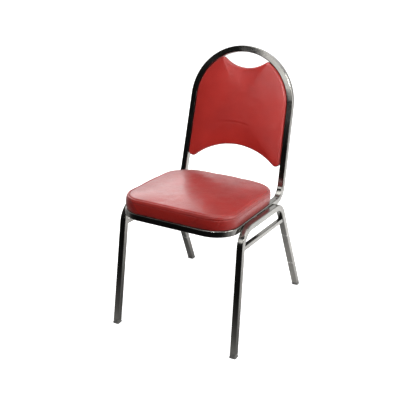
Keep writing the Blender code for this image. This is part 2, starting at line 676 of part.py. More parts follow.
def build_frame(parent, looks):
    tube = looks["tube"]
    make_seat_frame(tube, parent)
    make_back_frame(tube, parent)
    make_cross_rail(tube, parent)
    for side, hand in (("left", -1), ("right", 1)):
        make_splice_sleeve(f"splice_sleeve_{side}", hand, looks["zinc"], parent)
        make_leg_frame(f"leg_frame_{side}", hand, tube, parent)
        make_stretcher(f"stretcher_{side}", hand, tube, parent)
        corners = leg_corners(hand)
        normal = leg_normal(corners)
        make_glide(f"glide_front_{side}", corners[0], corners[1], normal, looks["glide"], parent)
        make_glide(f"glide_rear_{side}", corners[3], corners[2], normal, looks["glide"], parent)


def main():
    for old in list(bpy.data.objects):
        bpy.data.objects.remove(old)
    looks = {
        "tube": make_material("dark_nickel_tube", (0.09, 0.085, 0.08), 0.16, 1.0),
        "zinc": make_material("zinc_steel", (0.55, 0.56, 0.58), 0.35, 1.0),
        "vinyl": make_material("red_vinyl", (0.36, 0.045, 0.045), 0.38),
        "foam": make_material("seat_foam", (0.85, 0.78, 0.55), 0.95),
        "plywood": make_material("plywood", (0.55, 0.38, 0.22), 0.75),
        "cloth": make_material("black_lining_cloth", (0.02, 0.02, 0.02), 0.9),
        "glide": make_material("grey_plastic", (0.22, 0.22, 0.22), 0.5),
    }
    chair = plane_empty("stacking_chair", (0.0, -(FOREMOST + REARMOST) / 2, 0.0), 0.0, None)
    build_frame(chair, looks)
    pattern = make_tab_mesh(looks["tube"])
    tab_mesh = pattern.data
    bpy.data.objects.remove(pattern)
    build_seat(plane_empty("seat_plane", FRONT_RAIL, -SEAT_SLOPE, chair), looks, tab_mesh)
    build_back(plane_empty("back_plane", BACK_CORNER, math.pi / 2 - BACK_RECLINE, chair), looks, tab_mesh)
    bpy.context.view_layer.update()


main()
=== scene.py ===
"""Stacking chair: a bent square-tube frame in dark nickel with a red vinyl seat and back pad."""
from math import atan2, copysign, cos, exp, hypot, pi, radians, sin, sqrt, tan

import bpy
from mathutils import Matrix, Vector, noise


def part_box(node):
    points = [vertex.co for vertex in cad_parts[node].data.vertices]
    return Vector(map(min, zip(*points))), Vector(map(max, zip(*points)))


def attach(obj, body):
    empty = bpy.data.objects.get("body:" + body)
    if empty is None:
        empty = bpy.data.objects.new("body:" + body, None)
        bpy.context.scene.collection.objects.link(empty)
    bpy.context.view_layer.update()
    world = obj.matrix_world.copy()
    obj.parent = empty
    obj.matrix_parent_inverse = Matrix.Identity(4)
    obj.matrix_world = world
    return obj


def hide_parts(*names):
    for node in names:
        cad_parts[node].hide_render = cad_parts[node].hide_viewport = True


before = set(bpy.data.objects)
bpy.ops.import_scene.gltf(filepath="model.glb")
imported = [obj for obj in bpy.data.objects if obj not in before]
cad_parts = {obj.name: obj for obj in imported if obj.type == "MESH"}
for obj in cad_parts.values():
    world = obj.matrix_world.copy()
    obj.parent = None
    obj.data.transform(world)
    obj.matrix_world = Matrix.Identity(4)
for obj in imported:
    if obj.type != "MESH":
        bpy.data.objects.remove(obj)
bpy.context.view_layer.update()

# ---------------------------------------------------------------- sizes of the chair, in metres
HEIGHT = 0.9175
RAIL_SPACING = 0.3996
SEAT_DEPTH = 0.4418
RAIL_HEIGHT = 0.4454
SEAT_SLOPE = radians(4.42)
FORWARD = 0.28675                   # front rail's centre line in front of the middle of the footprint
TUBE = 0.0222
HALF = TUBE / 2
WALL = 0.0012
TUBE_CORNER = 0.0030
STRETCHER = 0.0159
CROSS_RAIL = 0.0190
FRONT_CORNER = 0.079
RECLINE = radians(14.76)
TAPER = radians(1.57)
BACK_BEND = 0.055
SPLICE_LEAD = 0.018
CROSS_RAIL_LEAD = 0.045
LEG_SETBACK = 0.0699
LEG_REAR_LEAD = 0.0590
LEG_BAR_EXTRA = radians(1.3)
FRONT_RAKE = radians(8.53)
REAR_RAKE = radians(24.24)
SPLAY = radians(1.39)
LEG_FRONT_BEND = 0.062
LEG_REAR_BEND = 0.070
STRETCHER_DROP = 0.0624
GLIDE_HEIGHT = 0.0150
GAP = 0.0003
SEAT_INSET = 0.0040
SEAT_REAR_LEAD = 0.0471
SEAT_REAR_CORNER = 0.085
SEAT_BASE = HALF + GAP              # underside of the seat's vinyl above the rails' centre plane
SEAT_TOP = 0.0615                   # top of the cushion at its edge
SEAT_CROWN = 0.0108
BACK_BASE = -0.0045
BACK_TOP = 0.0152
BACK_CROWN = 0.0100
HAND_HOLD = 0.133
HORN = 0.0095
ARCH_LIFT = 0.1628
ARCH = 0.243
FOOT = 0.0160
TOP_DROP = 0.0560

# ---------------------------------------------------------------- sizes and counts of the fine detail
MERGE = 0.00001                     # points nearer than this are joined
CORNER_STEPS = 5                    # segments round one corner of a tube's section
BEND_STEPS = 20
LEG_BEND_STEPS = 22
DOME_STEPS = 72
ARC_STEPS = 24
TURN_STEPS = 12
STRETCHER_CORNER = 0.0022
STRETCHER_SPARE = 0.02              # extra length at each end, cut off against the legs
CROSS_RAIL_BEAD = 0.0013            # radii of the weld beads
STRETCHER_BEAD = 0.0012
RAIL_BEAD = 0.0017
RAIL_BEAD_DEPTH = 0.0012
RAIL_BEADS = ((0.085, 0.115), (0.185, 0.215), (0.285, 0.312))
RIPPLES = 9
GLIDE_SOLE = 0.0240
GLIDE_CORNER = 0.0045
SCUFF_HEIGHTS = (0.268, 0.124)
REAR_LEGS_FROM = 0.145
STITCHES = 264
STITCH_HALF_LENGTH = 0.0021
STITCH_RADIUS = 0.00042
PIPING_RADIUS = 0.00145
PANEL_FACE = -0.0099
LINING_INSET = 0.0158
LINING_RINGS = 22
STAPLES = 34
STAPLE_INSET = 0.0045
STAPLE_SIZE = (0.0100, 0.0011, 0.0006)
BROKEN_EDGE = 0.00025

SIDE = Vector((1.0, 0.0, 0.0))
ALONG = Vector((0.0, cos(SEAT_SLOPE), -sin(SEAT_SLOPE)))
SEAT_UP = SIDE.cross(ALONG)
BACK_UP = Vector((0.0, sin(RECLINE), cos(RECLINE)))
BACK_FRONT = Vector((0.0, -cos(RECLINE), sin(RECLINE)))
RAIL_X = RAIL_SPACING / 2
RAIL_LENGTH = SEAT_DEPTH / cos(SEAT_SLOPE)
FRONT_RAIL = Vector((0.0, -FORWARD, RAIL_HEIGHT))
BACK_CORNER = FRONT_RAIL + ALONG * RAIL_LENGTH
BACK_TURN = pi / 2 - RECLINE + SEAT_SLOPE
SPLICE_AT = RAIL_LENGTH - BACK_BEND * tan(BACK_TURN / 2) - SPLICE_LEAD
BACK_RISE = (HEIGHT - BACK_CORNER.z - (HALF - TUBE_CORNER) * sin(RECLINE)) / cos(RECLINE)
DOME = (RAIL_X * cos(TAPER) - (BACK_RISE - HALF) * sin(TAPER)) / (1 - sin(TAPER))
DOME_MIDDLE = BACK_RISE - HALF - DOME
HOLD_LOW = BACK_RISE - TUBE - TOP_DROP
SEAT_REAR = RAIL_LENGTH - SEAT_REAR_LEAD


# ---------------------------------------------------------------- materials
def finish(name, colour, roughness, metallic=0.0, slot_values=()):
    made = bpy.data.materials.new(name)
    made.use_nodes = True
    shader = made.node_tree.nodes["Principled BSDF"]
    shader.inputs["Base Color"].default_value = (*colour, 1.0)
    shader.inputs["Roughness"].default_value = roughness
    shader.inputs["Metallic"].default_value = metallic
    for socket, value in slot_values:
        shader.inputs[socket].default_value = value
    return made, made.node_tree, shader


def node(tree, kind, **settings):
    made = tree.nodes.new(kind)
    for key, value in settings.items():
        if key in made.inputs.keys():
            made.inputs[key].default_value = value
        else:
            setattr(made, key, value)
    return made


def place(tree):
    return node(tree, "ShaderNodeTexCoord").outputs["Object"]


def ramp(tree, value, stops):
    made = node(tree, "ShaderNodeValToRGB")
    elements = made.color_ramp.elements
    while len(elements) < len(stops):
        elements.new(0.5)
    for element, (position, colour) in zip(elements, stops):
        element.position = position
        element.color = (*colour, 1.0) if len(colour) == 3 else colour
    tree.links.new(value, made.inputs["Fac"])
    return made.outputs["Color"]


def grey(level):
    return (level, level, level)


def fade(tree, value, low, high, first=0.0, last=1.0):
    """Grey that goes from first to last while value goes from low to high."""
    return ramp(tree, value, ((low, grey(first)), (high, grey(last))))


def bump(tree, shader, height, distance, strength=1.0, under=None):
    made = node(tree, "ShaderNodeBump", Distance=distance, Strength=strength)
    tree.links.new(height, made.inputs["Height"])
    if under is not None:
        tree.links.new(under, made.inputs["Normal"])
    tree.links.new(made.outputs["Normal"], shader.inputs["Normal"])
    return made.outputs["Normal"]


def noise_of(tree, scale, detail=3.0, roughness=0.55, stretch=None):
    where = place(tree)
    if stretch:
        mapping = node(tree, "ShaderNodeMapping")
        mapping.inputs["Scale"].default_value = stretch
        tree.links.new(where, mapping.inputs["Vector"])
        where = mapping.outputs["Vector"]
    made = node(tree, "ShaderNodeTexNoise", Scale=scale, Detail=detail, Roughness=roughness)
    tree.links.new(where, made.inputs["Vector"])
    return made.outputs["Fac"]


def mixed(tree, factor, first, second, blend="MIX"):
    made = node(tree, "ShaderNodeMix", data_type="RGBA", blend_type=blend)
    if hasattr(factor, "links"):
        tree.links.new(factor, made.inputs[0])
    else:
        made.inputs[0].default_value = factor
    for socket, value in ((6, first), (7, second)):
        if hasattr(value, "links"):
            tree.links.new(value, made.inputs[socket])
        else:
            made.inputs[socket].default_value = (*value, 1.0)
    return made.outputs[2]


def red_vinyl(name, light, deep):
    """Coated upholstery vinyl: fine leather grain, slow colour drift, duller where it is rubbed."""
    coat = (("Specular IOR Level", 0.5), ("Coat Weight", 0.32), ("Coat Roughness", 0.24))
    made, tree, shader = finish(name, light, 0.36, slot_values=coat)
    drift = noise_of(tree, 9.0, 4.0)
    colour = mixed(tree, fade(tree, drift, 0.32, 0.70), deep, light)
    grain = node(tree, "ShaderNodeTexVoronoi", feature="DISTANCE_TO_EDGE", Scale=620.0)
    tree.links.new(place(tree), grain.inputs["Vector"])
    creases = fade(tree, grain.outputs["Distance"], 0.0, 0.12)
    colour = mixed(tree, 0.16, colour, creases, "MULTIPLY")
    tree.links.new(colour, shader.inputs["Base Color"])
    rub = noise_of(tree, 26.0, 5.0, 0.6)
    tree.links.new(fade(tree, rub, 0.3, 0.75, 0.31, 0.42), shader.inputs["Roughness"])
    soft = noise_of(tree, 38.0, 3.0)
    under = bump(tree, shader, soft, 0.0012, 0.35)
    fine = bump(tree, shader, creases, 0.00018, 0.55, under)
    pores = noise_of(tree, 1500.0, 2.0)
    bump(tree, shader, pores, 0.0001, 0.35, fine)
    return made


def dark_nickel(name, colour, roughness, worn=False):
    """Smoked nickel plate: soft waves, smudges and pits, and scuffs at two heights on the rear legs."""
    made, tree, shader = finish(name, colour, roughness, 1.0)
    cloud = noise_of(tree, 14.0, 4.0)
    smudge = fade(tree, cloud, 0.35, 0.75, roughness * 0.75, roughness * 1.6)
    tone = mixed(tree, fade(tree, noise_of(tree, 6.0, 3.0), 0.35, 0.7),
                 tuple(c * 0.88 for c in colour), tuple(min(c * 1.12, 1) for c in colour))
    flecks = noise_of(tree, 420.0, 2.0, 0.7)
    pits = fade(tree, flecks, 0.70, 0.78)
    tone = mixed(tree, pits, tone, tuple(c * 0.72 for c in colour))
    if worn:
        split = node(tree, "ShaderNodeSeparateXYZ")
        tree.links.new(place(tree), split.inputs[0])
        marks = None
        for height in SCUFF_HEIGHTS:
            apart = node(tree, "ShaderNodeMath", operation="SUBTRACT")
            tree.links.new(split.outputs["Z"], apart.inputs[0])
            apart.inputs[1].default_value = height
            size = node(tree, "ShaderNodeMath", operation="ABSOLUTE")
            tree.links.new(apart.outputs[0], size.inputs[0])
            band = fade(tree, size.outputs[0], 0.0015, 0.0045, 1, 0)
            marks = band if marks is None else mixed(tree, 1.0, marks, band, "ADD")
        behind = fade(tree, split.outputs["Y"], REAR_LEGS_FROM, REAR_LEGS_FROM + 0.005)
        broken = fade(tree, noise_of(tree, 190.0, 4.0, 0.7), 0.46, 0.54)
        marks = mixed(tree, 1.0, mixed(tree, 1.0, marks, behind, "MULTIPLY"), broken, "MULTIPLY")
        tone = mixed(tree, marks, tone, (0.86, 0.85, 0.82))
        smudge = mixed(tree, marks, smudge, grey(0.42))
    tree.links.new(tone, shader.inputs["Base Color"])
    tree.links.new(smudge, shader.inputs["Roughness"])
    waves = noise_of(tree, 22.0, 2.0)
    under = bump(tree, shader, waves, 0.0009, 0.22)
    bump(tree, shader, flecks, 0.00005, 0.3, under)
    return made


def plain_metal(name, colour, roughness, scale):
    """Zinc plate or a weld's burnt bead: mottled, with a fine uneven skin."""
    made, tree, shader = finish(name, colour, roughness, 1.0)
    mottle = noise_of(tree, scale, 5.0, 0.65)
    tone = ramp(tree, mottle, ((0.3, tuple(c * 0.6 for c in colour)), (0.7, colour)))
    tree.links.new(tone, shader.inputs["Base Color"])
    tree.links.new(fade(tree, mottle, 0.3, 0.8, roughness * 1.4, roughness * 0.8),
                   shader.inputs["Roughness"])
    bump(tree, shader, mottle, 0.0001, 0.5)
    return made


def moulded_plastic(name, colour):
    """Grey moulded nylon with a spark-eroded skin and patches of dirt."""
    made, tree, shader = finish(name, colour, 0.5)
    skin = noise_of(tree, 900.0, 3.0)
    dirt = noise_of(tree, 60.0, 5.0, 0.65)
    dark, pale = tuple(c * 0.7 for c in colour), tuple(c * 1.25 for c in colour)
    tone = ramp(tree, dirt, ((0.35, dark), (0.68, pale)))
    tree.links.new(tone, shader.inputs["Base Color"])
    tree.links.new(fade(tree, dirt, 0.3, 0.7, 0.62, 0.42), shader.inputs["Roughness"])
    bump(tree, shader, skin, 0.00012, 0.6)
    return made


def lining_cloth(name):
    """Black spun cloth with a fine square weave."""
    made, tree, shader = finish(name, (0.014, 0.014, 0.015), 0.9)
    height = None
    for direction in ("X", "Y"):
        threads = node(tree, "ShaderNodeTexWave", wave_type="BANDS", bands_direction=direction,
                       Scale=260.0, Distortion=0.6)
        tree.links.new(place(tree), threads.inputs["Vector"])
        weave = threads.outputs["Fac"]
        height = weave if height is None else mixed(tree, 0.5, height, weave)
    tree.links.new(fade(tree, height, 0.2, 0.8, 0.006, 0.024), shader.inputs["Base Color"])
    bump(tree, shader, height, 0.0003, 0.6)
    return made


NICKEL_COLOUR = (0.300, 0.292, 0.272)
VINYL = red_vinyl("red_upholstery_vinyl", (0.350, 0.017, 0.012), (0.275, 0.011, 0.008))
NICKEL = dark_nickel("smoked_nickel_tube", NICKEL_COLOUR, 0.13)
WORN_NICKEL = dark_nickel("smoked_nickel_leg", NICKEL_COLOUR, 0.15, True)
ZINC = plain_metal("zinc_plated_steel", (0.60, 0.61, 0.62), 0.34, 160.0)
BEAD = plain_metal("plated_weld_bead", (0.26, 0.25, 0.23), 0.28, 420.0)
NYLON = moulded_plastic("grey_moulded_nylon", (0.155, 0.153, 0.145))
CLOTH = lining_cloth("black_lining_cloth")
THREAD = red_vinyl("red_piping_vinyl", (0.270, 0.014, 0.010), (0.220, 0.010, 0.007))


def only(piece):
    """Select this piece alone and make it the active one."""
    bpy.ops.object.select_all(action="DESELECT")
    piece.select_set(True)
    bpy.context.view_layer.objects.active = piece


def apply_placing():
    bpy.ops.object.transform_apply(location=True, rotation=True, scale=True)


def new_object(name, points, faces):
    mesh = bpy.data.meshes.new(name)
    mesh.from_pydata([tuple(point) for point in points], [], faces)
    mesh.update()
    piece = bpy.data.objects.new(name, mesh)
    bpy.context.scene.collection.objects.link(piece)
    return piece


def settle(piece, material, angle=40.0, weighted=False):
    """Smooth the piece, give it its material and hang it on the frame."""
    only(piece)
    apply_placing()
    bpy.ops.object.shade_smooth_by_angle(angle=radians(angle))
    if weighted:
        even = piece.modifiers.new("even_faces", "WEIGHTED_NORMAL")
        even.keep_sharp = True
        even.weight = 60
        bpy.ops.object.modifier_apply(modifier=even.name)
    piece.data.materials.clear()
    piece.data.materials.append(material)
    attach(piece, "root")


def named(name):
    piece = bpy.context.object
    piece.name = name
    piece.data.name = name
    return piece


def turned(direction, side):
    """Rotation whose Z is direction and whose X is side, squared up."""
    side = (side - direction * side.dot(direction)).normalized()
    return Matrix((side, direction.cross(side), direction)).transposed()


def pick_all():
    bpy.ops.mesh.select_all(action="SELECT")


def edit_all():
    bpy.ops.object.mode_set(mode="EDIT")
    bpy.ops.mesh.select_mode(type="VERT")
    pick_all()


def corner_moves(before, corner, after, radius):
    """Start point, centre, axis, angle and end point of a bend."""
    inward = (corner - before).normalized()
    outward = (after - corner).normalized()
    angle = inward.angle(outward)
    axis = inward.cross(outward).normalized()
    trim = radius * tan(angle / 2)
    start = corner - inward * trim
    return start, start + axis.cross(inward) * radius, axis, angle, corner + outward * trim


def tube_section(name, where, direction, side, size, corner):
    """Open outline of a square tube with rounded corners, selected in edit mode."""
    bpy.ops.object.select_all(action="DESELECT")
    bpy.ops.mesh.primitive_plane_add(size=size, location=where, rotation=turned(direction, side).to_euler())
    piece = named(name)
    apply_placing()
    edit_all()
    bpy.ops.mesh.bevel(offset=corner, affect="VERTICES", segments=CORNER_STEPS)
    bpy.ops.mesh.delete(type="ONLY_FACE")
    pick_all()
    return piece


def give_wall(piece, even):
    """Thicken the open skin inwards into a tube's wall."""
    bpy.ops.mesh.normals_make_consistent(inside=False)
    bpy.ops.object.mode_set(mode="OBJECT")
    wall = piece.modifiers.new("wall", "SOLIDIFY")
    wall.thickness = WALL
    wall.offset = -1.0
    wall.use_even_offset = even
    bpy.ops.object.modifier_apply(modifier=wall.name)


def bent_tube(name, start, direction, side, moves, size, corner, material, *stands_for):
    """Square tube drawn as a section, extruded down its runs and spun round its bends."""
    piece = tube_section(name, start, direction, side, size, corner)
    at = start
    for kind, *rest in moves:
        if kind == "run":
            bpy.ops.mesh.extrude_region_move(TRANSFORM_OT_translate={"value": rest[0] - at})
            at = rest[0]
        else:
            centre, axis, angle, at, steps = rest
            bpy.ops.mesh.spin(steps=steps, angle=angle, center=centre, axis=-axis)
    pick_all()
    bpy.ops.mesh.remove_doubles(threshold=MERGE)
    give_wall(piece, True)
    settle(piece, material, 40.0, True)
    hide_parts(*stands_for)


def path_moves(points, radii, steps):
    """Runs and bends through a line of corners."""
    moves = []
    for before, corner, after, radius, step in zip(points, points[1:], points[2:], radii, steps):
        start, centre, axis, angle, end = corner_moves(before, corner, after, radius)
        moves += [("run", start), ("turn", centre, axis, angle, end, step)]
    return moves + [("run", points[-1])]


# ---------------------------------------------------------------- frame
def make_frames():
    rear = FRONT_RAIL + ALONG * (SPLICE_AT - GAP)
    points = [rear - SIDE * RAIL_X, FRONT_RAIL - SIDE * RAIL_X,
              FRONT_RAIL + SIDE * RAIL_X, rear + SIDE * RAIL_X]
    moves = path_moves(points, (FRONT_CORNER,) * 2, (BEND_STEPS,) * 2)
    bent_tube("seat_ring_tube", points[0], -ALONG, SIDE, moves, TUBE, TUBE_CORNER, NICKEL, "seat_frame")

    splice = FRONT_RAIL + ALONG * SPLICE_AT
    lean_left = BACK_UP * cos(TAPER) + SIDE * sin(TAPER)
    lean_right = BACK_UP * cos(TAPER) - SIDE * sin(TAPER)
    left, right = BACK_CORNER - SIDE * RAIL_X, BACK_CORNER + SIDE * RAIL_X
    first = corner_moves(splice - SIDE * RAIL_X, left, left + lean_left, BACK_BEND)
    last = corner_moves(right + lean_right, right, splice + SIDE * RAIL_X, BACK_BEND)
    centre = BACK_CORNER + BACK_UP * DOME_MIDDLE
    dome_end = centre + (SIDE * cos(TAPER) + BACK_UP * sin(TAPER)) * DOME
    dome_start = centre + (-SIDE * cos(TAPER) + BACK_UP * sin(TAPER)) * DOME
    moves = [("run", first[0]), ("turn", *first[1:], BEND_STEPS),
             ("run", dome_start), ("turn", centre, -BACK_FRONT, pi - 2 * TAPER, dome_end, DOME_STEPS),
             ("run", last[0]), ("turn", *last[1:], BEND_STEPS),
             ("run", splice + SIDE * RAIL_X)]
    bent_tube("back_hoop_tube", splice - SIDE * RAIL_X, ALONG, SIDE, moves,
              TUBE, TUBE_CORNER, NICKEL, "back_frame")

    lift = SEAT_UP * (HALF - CROSS_RAIL / 2)
    middle = FRONT_RAIL + ALONG * (SPLICE_AT - CROSS_RAIL_LEAD) + lift
    reach = SIDE * (RAIL_X - HALF - GAP)
    bent_tube("rear_cross_tube", middle - reach, SIDE, ALONG, [("run", middle + reach)], CROSS_RAIL,
              TUBE_CORNER, NICKEL, "rear_cross_rail")
    for hand in (-1, 1):
        bead_round(f"cross_rail_weld_{'left' if hand < 0 else 'right'}", middle + reach * hand, SIDE * hand,
                   ALONG, CROSS_RAIL, CROSS_RAIL_BEAD)


def bar_height(y):
    """Height of a leg frame's side bar, y behind the front rail."""
    front = RAIL_HEIGHT - LEG_SETBACK * tan(SEAT_SLOPE)
    return front - (y - LEG_SETBACK) * tan(SEAT_SLOPE + LEG_BAR_EXTRA)


def leg_point(y, z, hand):
    rail = RAIL_HEIGHT - y * tan(SEAT_SLOPE)
    reach = HALF * (cos(SPLAY) + sin(SPLAY))
    return Vector((hand * (RAIL_X + HALF + GAP + reach + (rail - z) * tan(SPLAY)), y - FORWARD, z))


def leg_corners(hand):
    rear = SEAT_DEPTH - LEG_REAR_LEAD
    front_height, rear_height = bar_height(LEG_SETBACK), bar_height(rear)
    return [leg_point(LEG_SETBACK - front_height * tan(FRONT_RAKE), 0.0, hand),
            leg_point(LEG_SETBACK, front_height, hand), leg_point(rear, rear_height, hand),
            leg_point(rear + rear_height * tan(REAR_RAKE), 0.0, hand)]


def bead_along(name, start, end, out, radius, ripples):
    """A weld bead along a seam: a rippled rod that swells and tails off."""
    bpy.ops.object.select_all(action="DESELECT")
    length = (end - start).length
    axis = (end - start).normalized()
    bpy.ops.mesh.primitive_cylinder_add(vertices=12, radius=radius, depth=length, end_fill_type="TRIFAN",
                                        location=(start + end) / 2, rotation=turned(axis, out).to_euler())
    piece = named(name)
    apply_placing()
    edit_all()
    cuts = ripples * 3
    for cut in range(1, cuts):
        pick_all()
        bpy.ops.mesh.bisect(plane_co=start + axis * (length * cut / cuts), plane_no=axis)
    bpy.ops.object.mode_set(mode="OBJECT")
    for vertex in piece.data.vertices:
        share = (vertex.co - start).dot(axis) / length
        middle = start + axis * (share * length)
        swell = (1 - (2 * share - 1) ** 6) * (0.86 + 0.2 * abs(sin(pi * ripples * share)))
        vertex.co = middle + (vertex.co - middle) * max(swell, 0.25)
    settle(piece, BEAD, 60.0)


def bead_round(name, centre, normal, side, size, radius):
    """A weld bead round a square tube's end: a ring pressed square, with ripples."""
    bpy.ops.object.select_all(action="DESELECT")
    bpy.ops.mesh.primitive_torus_add(major_segments=96, minor_segments=8, major_radius=size / 2,
                                     minor_radius=radius, location=centre,
                                     rotation=turned(normal, side).to_euler())
    piece = named(name)
    apply_placing()
    frame_of = turned(normal, side)
    back = frame_of.transposed()
    ring = size / 2
    for vertex in piece.data.vertices:
        local = back @ (vertex.co - centre)
        angle = atan2(local.y, local.x)
        square = (abs(cos(angle)) ** 7 + abs(sin(angle)) ** 7) ** (-1 / 7)
        radial = hypot(local.x, local.y)
        thick = 1 + 0.22 * sin(angle * 26) + 0.12 * sin(angle * 7 + 1)
        out = ring * square + (radial - ring) * thick
        local = Vector((out * cos(angle), out * sin(angle), local.z * thick))
        vertex.co = centre + frame_of @ local
    settle(piece, BEAD, 60.0)


def make_legs():
    for word, hand in (("left", -1), ("right", 1)):
        front_foot, front, rear, rear_foot = leg_corners(hand)
        front_up = (front - front_foot).normalized()
        rear_up = (rear - rear_foot).normalized()
        normal = front_up.cross(rear - front).normalized()
        points = [front_foot + front_up * (GLIDE_HEIGHT / front_up.z), front, rear,
                  rear_foot + rear_up * (GLIDE_HEIGHT / rear_up.z)]
        bent_tube(f"leg_tube_{word}", points[0], front_up, normal,
                  path_moves(points, (LEG_FRONT_BEND, LEG_REAR_BEND), (LEG_BEND_STEPS,) * 2),
                  TUBE, TUBE_CORNER, WORN_NICKEL, f"leg_frame_{word}")
        make_stretcher(word, front, rear, front_up, rear_up, normal)
        for end, foot, up in (("front", front_foot, front_up), ("rear", rear_foot, rear_up)):
            make_glide(f"glide_{end}_{word}", foot, up, normal)
        for number, span in enumerate(RAIL_BEADS):
            for level in (1, -1):
                ends = []
                for along in span:
                    rail = FRONT_RAIL + ALONG * along + SIDE * hand * (RAIL_X + HALF + GAP / 2)
                    drop = bar_height(along) - (RAIL_HEIGHT - along * tan(SEAT_SLOPE))
                    shift = min(0.0, drop) if level > 0 else max(0.0, drop)
                    ends.append(rail + SEAT_UP * (level * (HALF - RAIL_BEAD_DEPTH) + shift))
                bead_along(f"rail_weld_{word}_{number}_{'upper' if level > 0 else 'lower'}", *ends,
                           SIDE * -hand, RAIL_BEAD, RIPPLES)


def make_stretcher(word, front, rear, front_up, rear_up, normal):
    """Light tube between the legs, cut at both ends to lie against them."""
    top = (rear - front).normalized()
    start = front - front_up * STRETCHER_DROP
    low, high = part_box(f"stretcher_{word}")
    ends = [start + top * ((target - start.y) / top.y) for target in (low.y, high.y)]
    long_start, long_end = ends[0] - top * STRETCHER_SPARE, ends[1] + top * STRETCHER_SPARE
    piece = tube_section(f"stretcher_tube_{word}", long_start, top, normal, STRETCHER, STRETCHER_CORNER)
    bpy.ops.mesh.extrude_region_move(TRANSFORM_OT_translate={"value": long_end - long_start})
    cuts = []
    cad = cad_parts[f"stretcher_{word}"].data
    for towards, up in ((-1, front_up), (1, rear_up)):
        face = normal.cross(up).normalized()
        face = face if face.dot(top) * towards > 0 else -face
        reach = max(vertex.co.dot(face) for vertex in cad.vertices)
        point = face * reach
        cuts.append((point, face))
        pick_all()
        bpy.ops.mesh.bisect(plane_co=point, plane_no=face, clear_outer=True)
    pick_all()
    give_wall(piece, False)
    settle(piece, NICKEL, 40.0, True)
    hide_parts(f"stretcher_{word}")
    for end, (point, face) in zip(("front", "rear"), cuts):
        centre = start + top * ((point - start).dot(face) / top.dot(face))
        bead_round(f"stretcher_weld_{end}_{word}", centre, face, normal, STRETCHER, STRETCHER_BEAD)


def make_glide(node_name, foot, up, normal):
    """Flared foot glide: a sole flat on the floor, a waisted body and a collar under the tube."""
    end = foot + up * (GLIDE_HEIGHT / up.z - GAP)
    bpy.ops.object.select_all(action="DESELECT")
    flat = Vector((0.0, 0.0, 1.0))
    bpy.ops.mesh.primitive_plane_add(size=GLIDE_SOLE, location=foot,
                                     rotation=turned(flat, normal).to_euler())
    piece = named(node_name.replace("glide", "foot_glide"))
    apply_placing()
    edit_all()
    bpy.ops.mesh.bevel(offset=GLIDE_CORNER, affect="VERTICES", segments=6)
    pick_all()
    steps = ((0.0012, 1.080), (0.0040, 1.000), (0.0076, 0.915), (0.0105, 0.935),
             (GLIDE_HEIGHT - 0.0008, 0.985), (GLIDE_HEIGHT, 0.955))
    width, middle = 1.0, foot.copy()
    for level, scale in steps:
        target = foot.lerp(end, level / GLIDE_HEIGHT)
        bpy.ops.mesh.extrude_region_move(TRANSFORM_OT_translate={"value": target - middle})
        middle = target
        factor = scale / width
        bpy.ops.transform.resize(value=(factor, factor, factor), center_override=middle)
        width = scale
    tilt = flat.rotation_difference(up)
    bpy.ops.object.mode_set(mode="OBJECT")
    for vertex in piece.data.vertices:
        share = min(max(vertex.co.z / GLIDE_HEIGHT, 0.0), 1.0)
        axis_point = foot.lerp(end, share)
        offset = vertex.co - axis_point
        vertex.co = axis_point + offset.lerp(tilt @ offset, max(0.0, (share - 0.25) / 0.75))
    settle(piece, NYLON, 50.0)
    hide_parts(node_name)


# ---------------------------------------------------------------- cushions
def loft(name, rings, capped=True):
    """A skin through rings of equal count, with its first and last ring closed by a fan."""
    count = len(rings[0])
    points = [point for ring in rings for point in ring]
    faces = []
    for row in range(len(rings) - 1):
        for spot in range(count):
            after = (spot + 1) % count
            faces.append((row * count + spot, row * count + after, (row + 1) * count + after,
                          (row + 1) * count + spot))
    for row in (0, len(rings) - 1) if capped else ():
        points.append(sum(rings[row], Vector()) / count)
        for spot in range(count):
            pair = (row * count + spot, row * count + (spot + 1) % count)
            faces.append((*(pair if row else pair[::-1]), len(points) - 1))
    return new_object(name, points, faces)


def even_out(points, count):
    """The closed outline stepped off evenly."""
    lengths = [0.0]
    for here, after in zip(points, points[1:] + points[:1]):
        lengths.append(lengths[-1] + (Vector(after) - Vector(here)).length)
    total = lengths[-1]
    spaced, index = [], 0
    for step in range(count):
        target = total * step / count
        while lengths[index + 1] < target:
            index += 1
        share = (target - lengths[index]) / (lengths[index + 1] - lengths[index])
        spaced.append(Vector(points[index]).lerp(Vector(points[(index + 1) % len(points)]), share))
    return spaced


def seat_outline():
    half = RAIL_X + HALF - SEAT_INSET
    front = -HALF + SEAT_INSET
    front_radius = FRONT_CORNER + HALF - SEAT_INSET
    outline = []
    for across, along, radius, quarter in (
            (half - SEAT_REAR_CORNER, SEAT_REAR - SEAT_REAR_CORNER, SEAT_REAR_CORNER, 0),
            (SEAT_REAR_CORNER - half, SEAT_REAR - SEAT_REAR_CORNER, SEAT_REAR_CORNER, 1),
            (front_radius - half, front + front_radius, front_radius, 2),
            (half - front_radius, front + front_radius, front_radius, 3)):
        for step in range(ARC_STEPS + 1):
            angle = (quarter + step / ARC_STEPS) * pi / 2
            outline.append((across + radius * cos(angle), along + radius * sin(angle)))
    return outline


def arc(centre, radius, start, end, steps):
    angles = [start + (end - start) * step / steps for step in range(steps + 1)]
    return [(centre[0] + radius * cos(angle), centre[1] + radius * sin(angle)) for angle in angles]


def angle_from(centre, point):
    return atan2(point[1] - centre[1], point[0] - centre[0])


